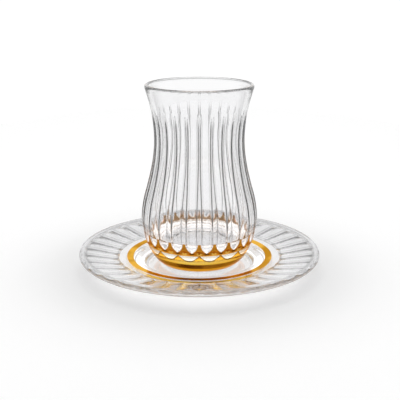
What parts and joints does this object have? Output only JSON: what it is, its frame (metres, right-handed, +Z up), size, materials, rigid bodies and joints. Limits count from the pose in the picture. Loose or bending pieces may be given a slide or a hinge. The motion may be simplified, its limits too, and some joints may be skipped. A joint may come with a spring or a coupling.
{
  "type": "turkish tea glass",
  "caption": "Tulip-shaped fluted clear tea glass with a gilded foot, standing on a shallow glass saucer with a ribbed rim and a gold ring.",
  "frame": {"origin": "on the table, under the middle of the saucer's foot ring, which is the bottom centre of the bounding box", "axes": "+Z up along the common axis of the glass and the saucer; -Y faces the picture's viewer"},
  "size_m": [0.1288, 0.1288, 0.0996],
  "materials": {
    "clear_glass": "clear polished glass, with a polished gold band fired on around the foot",
    "saucer_glass": "clear polished glass, with a gold ring fired on around the well",
    "gilding": "thin polished gold fired onto the glass"
  },
  "bodies": {
    "root": {"tea_glass": "clear_glass", "saucer": "saucer_glass"}
  },
  "joints": []
}
